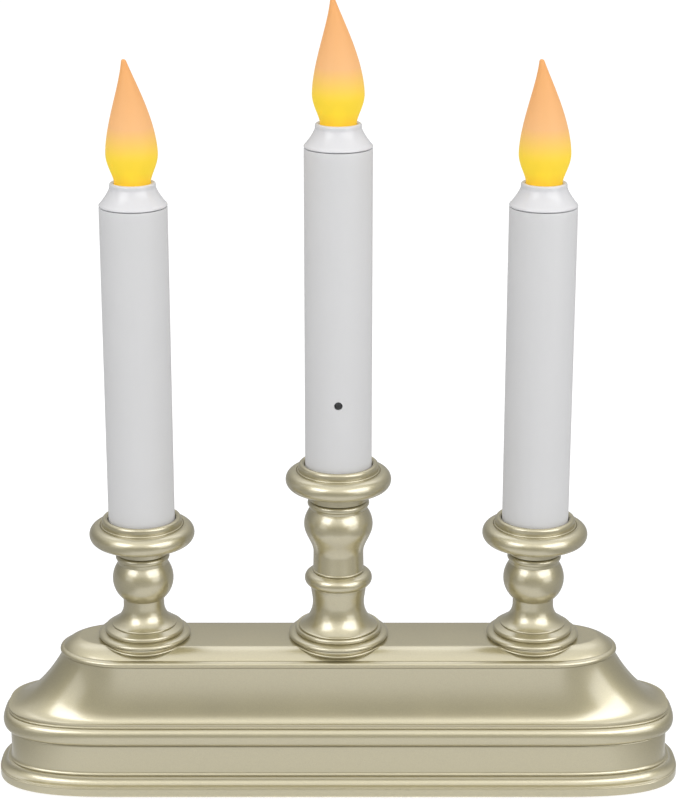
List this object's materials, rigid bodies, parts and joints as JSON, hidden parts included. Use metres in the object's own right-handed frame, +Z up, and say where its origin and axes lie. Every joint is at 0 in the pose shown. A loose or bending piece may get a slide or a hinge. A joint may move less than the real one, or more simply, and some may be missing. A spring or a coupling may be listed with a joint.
{
  "type": "flameless led candelabra",
  "caption": "Window candelabra on a long moulded base, with turned holders that each carry a white candle tube and a lit flame diffuser, run from batteries in the base.",
  "frame": {"origin": "centre of the footprint, on the table", "axes": "+Z up along the candles, +X along the base to the right seen from the front, front towards -Y"},
  "size_m": [0.2528, 0.0528, 0.2876],
  "materials": {
    "champagne_paint": "satin metallic champagne paint",
    "wax_white": "satin, like wax",
    "gloss_white": "gloss",
    "flame_amber": "translucent, lit from inside",
    "led_lens": "clear epoxy, lit",
    "black_plastic": "satin",
    "grey_plastic": "fine moulded grain",
    "rubber": "matt",
    "steel": "zinc plated",
    "cell_jacket": "dark plain foil jacket",
    "board_green": "solder mask",
    "red_lead": "insulated wire",
    "black_lead": "insulated wire"
  },
  "bodies": {
    "candelabra": {"base_shell": "champagne_paint", "battery_1": "cell_jacket", "battery_2": "cell_jacket", "battery_3": "cell_jacket", "battery_contact": "steel", "battery_lead_minus": "black_lead", "battery_lead_plus": "red_lead", "battery_spring": "steel", "bottom_plate": "grey_plastic", "capacitor": "cell_jacket", "circuit_board": "board_green", "circuit_board_screw_1": "steel", "circuit_board_screw_2": "steel", "collar_centre": "gloss_white", "collar_left": "gloss_white", "collar_right": "gloss_white", "cup_centre": "champagne_paint", "cup_left": "champagne_paint", "cup_right": "champagne_paint", "led_centre": "led_lens", "led_lead_centre": "red_lead", "led_lead_left": "red_lead", "led_lead_right": "red_lead", "led_left": "led_lens", "led_right": "led_lens", "led_seat_centre": "black_plastic", "led_seat_left": "black_plastic", "led_seat_right": "black_plastic", "light_sensor": "black_plastic", "plate_screw_1": "steel", "plate_screw_2": "steel", "plate_screw_3": "steel", "plate_screw_4": "steel", "rubber_foot_1": "rubber", "rubber_foot_2": "rubber", "rubber_foot_3": "rubber", "rubber_foot_4": "rubber", "sensor_lead": "black_lead", "stem_centre": "champagne_paint", "stem_left": "champagne_paint", "stem_right": "champagne_paint", "stem_screw_centre_1": "steel", "stem_screw_centre_2": "steel", "stem_screw_left_1": "steel", "stem_screw_left_2": "steel", "stem_screw_right_1": "steel", "stem_screw_right_2": "steel", "switch_body": "steel", "switch_lead": "black_lead", "timer_chip": "black_plastic", "tube_centre": "wax_white", "tube_left": "wax_white", "tube_right": "wax_white"},
    "battery_door": {"battery_door": "grey_plastic"},
    "switch_slider": {"switch_slider": "black_plastic"},
    "flame_left": {"flame_left": "flame_amber"},
    "flame_centre": {"flame_centre": "flame_amber"},
    "flame_right": {"flame_right": "flame_amber"}
  },
  "joints": [
    {"name": "battery_door_hinge", "type": "hinge", "parent": "candelabra", "child": "battery_door", "pos_m": [0, 0.0131, 0.0029], "axis": [1, 0, 0], "range_deg": [0, 100]},
    {"name": "switch_travel", "type": "slide", "parent": "candelabra", "child": "switch_slider", "axis": [1, 0, 0], "range_m": [0, 0.004]},
    {"name": "flame_left_pull", "type": "slide", "parent": "candelabra", "child": "flame_left", "axis": [0, 0, 1], "range_m": [0, 0.022]},
    {"name": "flame_centre_pull", "type": "slide", "parent": "candelabra", "child": "flame_centre", "axis": [0, 0, 1], "range_m": [0, 0.022]},
    {"name": "flame_right_pull", "type": "slide", "parent": "candelabra", "child": "flame_right", "axis": [0, 0, 1], "range_m": [0, 0.022]}
  ]
}
